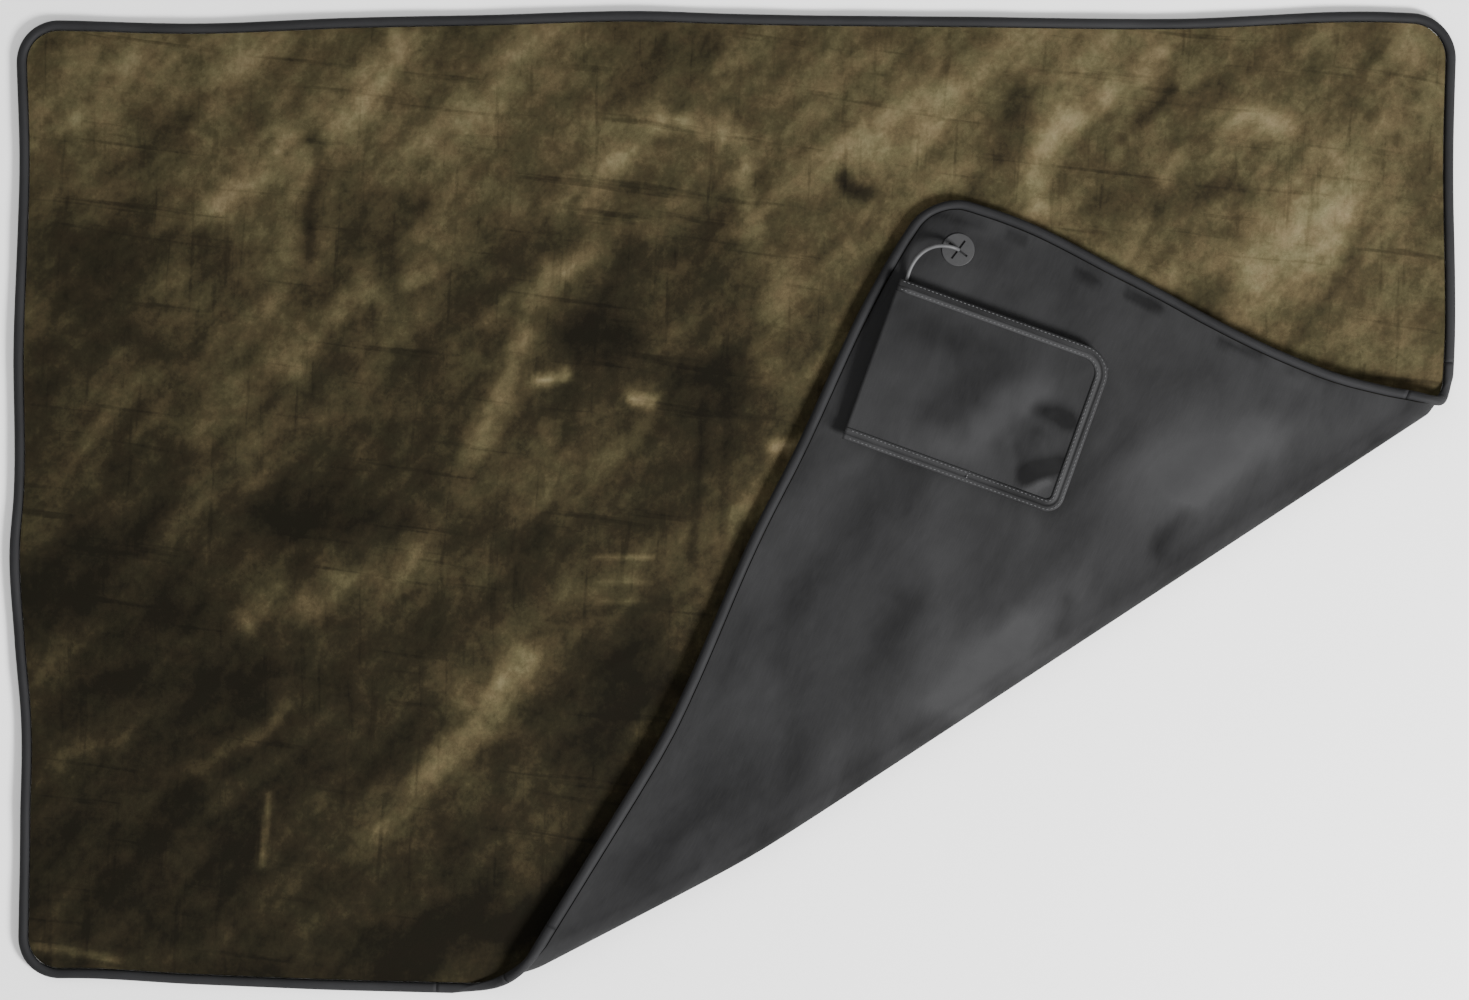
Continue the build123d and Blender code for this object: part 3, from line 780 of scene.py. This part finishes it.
# ---- Piping ----
def outline_stations(inset, step):
    """Points round the blanket's outline with their outward directions and the run so far."""
    half_x, half_y, r = LENGTH / 2 - inset, WIDTH / 2 - inset, CORNER_R - inset
    corners = ((1, 1), (-1, 1), (-1, -1), (1, -1))
    places = []
    for turn, (cx, cy) in enumerate(corners):
        centre = (cx * (half_x - r), cy * (half_y - r))
        count = max(6, round(r * math.pi / 2 / step))
        for k in range(count + 1):
            angle = math.pi / 2 * (turn + k / count)
            out = (math.cos(angle), math.sin(angle))
            places.append((centre[0] + r * out[0], centre[1] + r * out[1], *out))
        following = corners[(turn + 1) % 4]
        out = (math.cos(math.pi / 2 * (turn + 1)), math.sin(math.pi / 2 * (turn + 1)))
        x0, y0 = places[-1][:2]
        x1, y1 = following[0] * (half_x - r) + r * out[0], following[1] * (half_y - r) + r * out[1]
        pieces = round(math.hypot(x1 - x0, y1 - y0) / step)
        for k in range(1, pieces):
            places.append((x0 + (x1 - x0) * k / pieces, y0 + (y1 - y0) * k / pieces, *out))
    places = np.array(places)
    gaps = np.hypot(*(np.roll(places, -1, axis=0) - places)[:, :2].T)
    return places, np.concatenate([[0], np.cumsum(gaps)[:-1]])


def ring_shape(count):
    """The bead's section: a circle, drawn in a little where it is sewn to the layers."""
    angle = np.linspace(0, 2 * np.pi, count, endpoint=False)
    seam = np.exp(-((np.mod(angle, 2 * np.pi) - np.pi) / 0.45) ** 2)
    radius = BEAD_R * (1 - 0.18 * seam)
    return radius * np.cos(angle), radius * np.sin(angle), angle


def tube_mesh(name, rings, along, around, material):
    """A closed tube through rings of points, with the cloth's own coordinates."""
    made = add_mesh(name, rings.reshape(-1, 3), tube_faces(*rings.shape[:2]), material)
    cloth = np.stack(np.broadcast_arrays(along[:, None], around[None, :], 0.0), axis=-1)
    store(made, "cloth", cloth.reshape(-1, 3))
    return made


BEAD_STEP, BEAD_SIDES = 0.004, 18
BEAD_RIPPLE, RIPPLE_LENGTH = 0.00035, 0.019
PAST_PINCH = 0.02                       # an inset where the pinch doesn't reach the bead


def add_piping(material):
    places, along = outline_stations(BEAD_R, BEAD_STEP)
    across, up, angle = ring_shape(BEAD_SIDES)
    x = places[:, 0, None] + places[:, 2, None] * across
    y = places[:, 1, None] + places[:, 3, None] * across
    ripple = BEAD_RIPPLE * np.sin(along / RIPPLE_LENGTH)[:, None]
    sx, sy = shaped(x, y)
    centre_x, centre_y = shaped(places[:, 0], places[:, 1])
    centre_run, centre_t = roll_run(centre_x, centre_y)
    w = lifted(*np.broadcast_arrays(centre_x[:, None], centre_y[:, None], BEAD_R + 0 * up[None, :] + ripple,
                                    PAST_PINCH + 0 * x)) + up
    rings = folded(sx, sy, w)
    regions = region_of(centre_run, centre_t)
    first = int(np.flatnonzero(regions != np.roll(regions, 1))[0])
    order = np.roll(np.arange(len(places)), -first)
    start, parts = 0, []
    for k in range(1, len(order) + 1):
        if k == len(order) or regions[order[k]] != regions[order[start]]:
            chosen = list(order[start:k]) + [order[k % len(order)]]
            parts.append((int(regions[order[start]]), chosen))
            start = k
    seen = set()
    for region, chosen in parts:
        where = REGIONS[region]
        length = along[chosen].copy()
        length[np.diff(length, prepend=length[0]) < -1] += along[-1]
        made = tube_mesh("piping_" + where, rings[chosen], length, angle * BEAD_R, material)
        move_with(made, region)
        body = {"sheet": "sheet", "flap": "corner"}.get(where, "fold")
        if body not in seen:
            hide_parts("piping_cover_" + body, "piping_core_" + body)
            seen.add(body)


# ---- Pocket ----
PANEL_H = 0.0113
PANEL_LOW, PANEL_HIGH = 0.0004, 0.0016  # the panel's cloth, above the gusset's top
HEM_W, HEM_T, HEM_LIFT = 0.013, 0.0022, 0.0014
THREAD_LIFT = 0.0021                    # the stitching, above the hem's underside
GUSSET_INSET = 0.004


def on_pocket(a, b, h):
    """A point of the pocket: from its mouth, from the blanket's long side, out of the shell."""
    cosine, sine = math.cos(POCKET_TURN), math.sin(POCKET_TURN)
    return on_corner(POCKET_P + a * cosine - b * sine, POCKET_Q + a * sine + b * cosine, h)


MOUTH_CORNER_R, END_CORNER_R = 0.030, 0.018
BAR_MARK_B = 0.134                      # the short bar sewn across the closed end's hem


POCKET_STEP = 0.003


def pocket_edge(inset):
    """The hemmed border: along the mouth, down the far side and back along the closed end."""
    far, end = POCKET_WIDTH - inset, POCKET_DEPTH - inset
    places = []

    def run(a0, b0, a1, b1, out_a, out_b):
        count = max(2, round(math.hypot(a1 - a0, b1 - b0) / POCKET_STEP))
        for k in range(count):
            places.append((a0 + (a1 - a0) * k / count, b0 + (b1 - b0) * k / count, out_a, out_b))

    def turn(centre_a, centre_b, radius, start):
        count = max(6, round(radius * math.pi / 2 / POCKET_STEP))
        for k in range(count):
            angle = start + math.pi / 2 * k / count
            out = (-math.cos(angle), math.sin(angle))
            places.append((centre_a + radius * out[0], centre_b + radius * out[1], *out))

    mouth_r, end_r = MOUTH_CORNER_R - inset, END_CORNER_R - inset
    run(inset, 0.0, inset, far - mouth_r, -1, 0)
    turn(inset + mouth_r, far - mouth_r, mouth_r, 0.0)
    run(inset + mouth_r, far, end - end_r, far, 0, 1)
    turn(end - end_r, far - end_r, end_r, math.pi / 2)
    run(end, far - end_r, end, 0.0, 1, 0)
    places.append((end, 0.0, 1, 0))
    return np.array(places)


# Wrinkles in the pocket's panel, in its own millimetres: centre, length, width, angle, height.
PANEL_WRINKLES = [
    (62, 150, 110, 34, 62, 2.2), (96, 196, 70, 22, 70, -2.6), (140, 178, 60, 18, 30, -2.2),
    (118, 205, 60, 20, 55, 2.4), (40, 60, 130, 40, 80, 1.4), (120, 70, 120, 40, 35, 1.6),
    (150, 130, 90, 26, 80, 1.0), (90, 110, 120, 24, 48, -1.2), (160, 205, 34, 14, 10, 1.8),
]


def panel_height(a, b):
    """The panel's slack cloth over the flat border."""
    border = np.minimum(np.minimum(a, POCKET_DEPTH - a), POCKET_WIDTH - b)
    inner = smooth(border, 0.009, 0.045)
    crown = 0.0016 * inner
    waves = 0.0018 * (noise(a / 0.05, b / 0.07, 61, 3) - 0.5)
    return crown + inner * (waves + strokes(a, b, PANEL_WRINKLES) / 1000)


def add_panel(material):
    na, nb = round(POCKET_DEPTH / POCKET_STEP), round(POCKET_WIDTH / POCKET_STEP)
    b, a = np.meshgrid(np.linspace(0, POCKET_WIDTH, nb + 1), np.linspace(0, POCKET_DEPTH, na + 1))
    a, b = a.ravel(), b.ravel()
    for centre_a, sign, radius in ((MOUTH_CORNER_R, -1, MOUTH_CORNER_R),
                                   (POCKET_DEPTH - END_CORNER_R, 1, END_CORNER_R)):
        da, db = sign * (a - centre_a), b - (POCKET_WIDTH - radius)
        corner, pull = corner_pull(da, db)
        a = np.where(corner, centre_a + sign * da * pull, a)
        b = np.where(corner, POCKET_WIDTH - radius + db * pull, b)
    height = PANEL_H + panel_height(a, b)
    top, under = on_pocket(a, b, height + PANEL_HIGH), on_pocket(a, b, height + PANEL_LOW)
    made = closed_sheet("pocket_panel_cloth", top, under, grid_faces(na, nb).tolist(), material)
    cloth = np.stack([a, b, 0 * a], axis=1)
    store(made, "cloth", np.concatenate([cloth, cloth]))
    # The panel's painted highlights and painted shade.
    store(made, "painted_light", np.tile(painted_light(top, PANEL_PAINTED_LIGHT_MARKS), 2))
    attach(made, "pocket_front")
    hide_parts("pocket_panel")
    return made


def swept_band(name, path, section, height, material):
    """Sweeps a section, given as (inwards, up) points, along the pocket's border."""
    rings = []
    inwards, up = np.array(section).T
    for a, b, out_a, out_b in path:
        rings.append(on_pocket(a - out_a * inwards, b - out_b * inwards, height + up))
    around = np.cumsum(np.hypot(*np.diff(section, axis=0, prepend=section[:1]).T))
    return tube_mesh(name, np.array(rings), run_along(path[:, :2]), around, material)


def band_section(width, thickness):
    """A hem's section: two soft ridges with a groove between them."""
    top = []
    for f in np.linspace(0.04, 0.96, 15):
        groove = 0.0013 * math.exp(-(((f - 0.50) / 0.10) ** 2))
        edge = 0.0008 * (abs(2 * f - 1) ** 4)
        top.append((width * f, thickness - groove - edge))
    return [(0.0, 0.0004), *top, (width, 0.0004), (width - 0.0004, 0.0), (0.0004, 0.0)]


def hem_shine(path, across):
    """Painted highlights on the hem's ridges: the inner one along the mouth, both down the far side and
    along the closed end, with painted shade along the mouth and towards the far part of the closed end.
    """
    b, out_a, out_b = (path[:, i][:, None] for i in (1, 2, 3))
    inner, outer = smooth(across, 0.50, 0.66)[None], 1 - smooth(across, 0.34, 0.50)[None]
    mouth, end, far = np.maximum(-out_a, 0), np.maximum(out_a, 0), np.maximum(out_b, 0)
    dull_end = smooth(b, 0.120, 0.190)
    return (mouth * (0.42 * inner * smooth(b, 0.004, 0.016) - 0.10)
            + far * (0.24 * inner + 0.16 * outer - 0.06)
            + end * (0.14 * outer + 0.10 * inner - 0.24 * dull_end))


STITCH_TAPER = (0.35, 0.9, 1.0, 0.9, 0.35)
STITCH_SIDES = 6
STITCH_RISE, STITCH_SINK = 0.0003, 0.0001
STITCH_INSETS = (0.0022, 0.0106)        # two rows, from the hem's outer edge


def stitch_row(path, inset, height, length=0.0030, gap=0.0014, thick=0.00045):
    """Short rounded threads laid end to end along a path, as points and faces."""
    places = path[:, :2] - path[:, 2:] * inset
    along = run_along(places)
    rings = len(STITCH_TAPER)
    points, faces = [], []
    for start in np.arange(0.004, along[-1] - length - 0.003, length + gap):
        faces += tube_faces(rings, STITCH_SIDES, len(points))
        for k, taper in enumerate(STITCH_TAPER):
            share = k / (rings - 1)
            at = np.array([0.0, 0.0005]) + start + length * share
            (a, ahead_a), (b, ahead_b) = (np.interp(at, along, places[:, i]) for i in (0, 1))
            run = np.array([ahead_a - a, ahead_b - b])
            run /= max(np.linalg.norm(run), 1e-9)
            rise = height + STITCH_RISE * math.sin(math.pi * share) - STITCH_SINK
            for j in range(STITCH_SIDES):
                angle = -2 * math.pi * j / STITCH_SIDES
                across = thick * taper * math.cos(angle)
                up = thick * taper * math.sin(angle)
                points.append((a - run[1] * across, b + run[0] * across, rise + up))
    return points, faces


def add_stitching(material, height):
    path = pocket_edge(0.0)
    bar = np.array([(POCKET_DEPTH - HEM_W, BAR_MARK_B, 0, 1), (POCKET_DEPTH, BAR_MARK_B, 0, 1)])
    rows = [stitch_row(path, inset, height) for inset in STITCH_INSETS]
    rows.append(stitch_row(bar, 0.0, height - 0.0004, 0.0020, 0.0002, 0.0009))
    all_points, all_faces = [], []
    for points, faces in rows:
        all_faces += [[i + len(all_points) for i in face] for face in faces]
        all_points += points
    a, b, h = np.array(all_points).T
    made = add_mesh("pocket_stitching", on_pocket(a, b, h), all_faces, material)
    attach(made, "pocket_front")
    return made


def gusset_path():
    """Up the near side, round the closed end and up the far side, a little inside the panel's edge."""
    border = pocket_edge(GUSSET_INSET)
    far = border[border[:, 1] > 0.02]
    near_a = np.linspace(POCKET_DEPTH - GUSSET_INSET, 0.014, 50)
    near = np.stack([near_a, 0.005 + 0 * near_a, 0 * near_a, -1 + 0 * near_a], axis=1)
    corner = np.array([[POCKET_DEPTH - GUSSET_INSET, 0.010, 1, 0]])
    start = int(np.argmax(far[:, 3] > 0.99))
    return np.concatenate([far[start:], corner, near])


def add_gusset(material):
    section = [(0.0000, 0.0002), (-0.0016, 0.0030), (0.0012, 0.0058), (-0.0012, 0.0086), (0.0000, 0.0114),
               (0.0010, 0.0114), (-0.0002, 0.0086), (0.0022, 0.0058), (-0.0006, 0.0030), (0.0010, 0.0002)]
    made = swept_band("pocket_gusset_cloth", gusset_path(), section, 0.0, material)
    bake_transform(made)
    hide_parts("pocket_gusset")
    return made


def add_pocket(materials):
    panel = add_panel(materials["pocket"])
    border, section = pocket_edge(0.0), band_section(HEM_W, HEM_T)
    hem = swept_band("pocket_hem_band", border, section, PANEL_H + HEM_LIFT, materials["hem"])
    # The hem's painted highlights and painted shade.
    store(hem, "painted_light", hem_shine(border, np.array(section)[:, 0] / HEM_W).ravel())
    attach(hem, "pocket_front")
    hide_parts("pocket_hem")
    stitching = add_stitching(materials["thread"], PANEL_H + HEM_LIFT + THREAD_LIFT)
    gusset = add_gusset(materials["gusset"])


# ---- CAD nodes that stay ----
def dress(name, material):
    mesh = nodes[name].data
    mesh.materials.clear()
    mesh.materials.append(material)


def dress_frame():
    harness = rubber("harness_rubber", (0.012, 0.012, 0.013), 0.5)
    carrier = plain_fabric("carrier_fleece", (0.46, 0.46, 0.44))
    element = plain_fabric("element_carbon", (0.010, 0.010, 0.011), 1400.0, rough=0.45)
    for part in ("sheet", "fold", "corner"):
        dress("harness_" + part, harness)
    for side in ("left", "centre", "right"):
        dress("heating_carrier_" + side, carrier)
        dress("heating_element_" + side, element)
    dress("thermal_cutout", rubber("cutout_plastic", (0.62, 0.60, 0.55), 0.4))
    dress("lead_splice", rubber("splice_rubber", (0.010, 0.010, 0.010), 0.5))
    dress("port_disc", rubber("port_rubber", (0.0165, 0.0165, 0.0172), 0.62))
    dress("port_backing_ring", rubber("ring_plastic", (0.016, 0.016, 0.017), 0.45))
    dress("pocket_bar_tacks", plain_fabric("tack_thread", (0.045, 0.045, 0.047), 1500.0))
    dress("plug_grip", rubber("grip_rubber", (0.12, 0.12, 0.125), 0.42))
    dress("plug_shell", steel_material())
    dress("plug_tongue", rubber("tongue_plastic", (0.008, 0.008, 0.009), 0.25))


# ---- Stage ----
def area_light(name, place, size, power):
    """A square soft light, aimed at the blanket's middle."""
    light = bpy.data.lights.new(name, "AREA")
    light.size = size
    light.energy = power
    holder = bpy.data.objects.new(name, light)
    holder.location = place
    holder.rotation_euler = (-Vector(place)).to_track_quat("-Z", "Y").to_euler()
    bpy.context.scene.collection.objects.link(holder)


FLOOR_HALF, FLOOR_Z = 9.0, -0.0004


def add_stage():
    make = Shader("floor_paper", Roughness=0.9, Specular_IOR_Level=0.1)
    grain = make.noise(make.coordinates(None), 3.0, 2.0)
    paper = make.finish(make.ramp(grain, [(0.3, (0.90, 0.90, 0.90)), (0.7, (0.92, 0.92, 0.92))]))
    corners = [(x * FLOOR_HALF, y * FLOOR_HALF, FLOOR_Z) for x, y in ((-1, -1), (1, -1), (1, 1), (-1, 1))]
    floor = add_mesh("floor", corners, [(0, 1, 2, 3)], paper, smooth_faces=False)
    area_light("key", (2.5, -2.1, 2.7), 1.1, 520)
    area_light("fill", (-1.8, 2.0, 3.6), 3.5, 70)
    world = bpy.data.worlds.new("studio")
    world.use_nodes = True
    world.node_tree.nodes["Background"].inputs["Color"].default_value = (1.0, 1.0, 1.0, 1.0)
    world.node_tree.nodes["Background"].inputs["Strength"].default_value = 0.62
    bpy.context.scene.world = world


# ---- Build ----
add_camera()
add_lead()
# The shell's colour takes its painted highlights and painted shade from its attribute.
shell_look = woven_material("shell_oxford", (0.0040, 0.0040, 0.0042), (0.0285, 0.0285, 0.0293),
                            painted_light_attribute="painted_light", rough=0.8)
add_layers({
    "plush": plush_material(),
    "padding": plain_fabric("padding_wadding", (0.72, 0.72, 0.69), 500.0, attribute="cloth"),
    "shell": shell_look,
})
add_piping(woven_material("piping_weave", (0.0060, 0.0060, 0.0064), (0.0215, 0.0215, 0.0228), rough=0.7))
# The pocket's panel and hem take painted highlights and painted shade from their attribute.
add_pocket({
    "pocket": woven_material("pocket_oxford", (0.0038, 0.0038, 0.0040), (0.0275, 0.0275, 0.0283),
                             painted_light_attribute="painted_light", rough=0.8),
    "hem": woven_material("hem_oxford", (0.0040, 0.0040, 0.0042), (0.0300, 0.0300, 0.0309),
                          painted_light_attribute="painted_light", rough=0.7),
    # The gusset's much darker colour is painted shade on its side walls.
    "gusset": woven_material("gusset_weave_painted_shade", (0.0026, 0.0026, 0.0028), (0.0080, 0.0080, 0.0085), rough=0.8),
    "thread": plain_fabric("thread", (0.075, 0.075, 0.078), 1500.0),
})
dress_frame()
add_stage()
